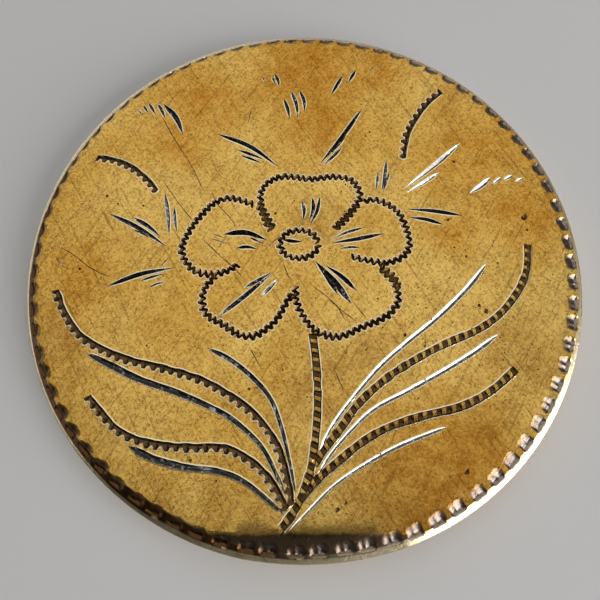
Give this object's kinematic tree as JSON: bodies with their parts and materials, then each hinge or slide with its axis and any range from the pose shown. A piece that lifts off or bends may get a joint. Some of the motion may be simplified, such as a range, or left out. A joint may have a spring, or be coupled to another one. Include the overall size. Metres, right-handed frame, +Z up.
{
  "type": "engraved token",
  "caption": "Flat round brass token with a scalloped border and a hand-engraved flower with long leaves on its face.",
  "frame": {"origin": "centre of the plain back, which is what the token rests on", "axes": "+Z up through the engraved face; +Y from the foot of the flower's stem to its head"},
  "size_m": [0.031, 0.031, 0.0018],
  "materials": {
    "engraved_brass": "worn satin brass, hand-engraved, with dark patina in the cuts"
  },
  "bodies": {
    "root": {"token": "engraved_brass"}
  },
  "joints": []
}
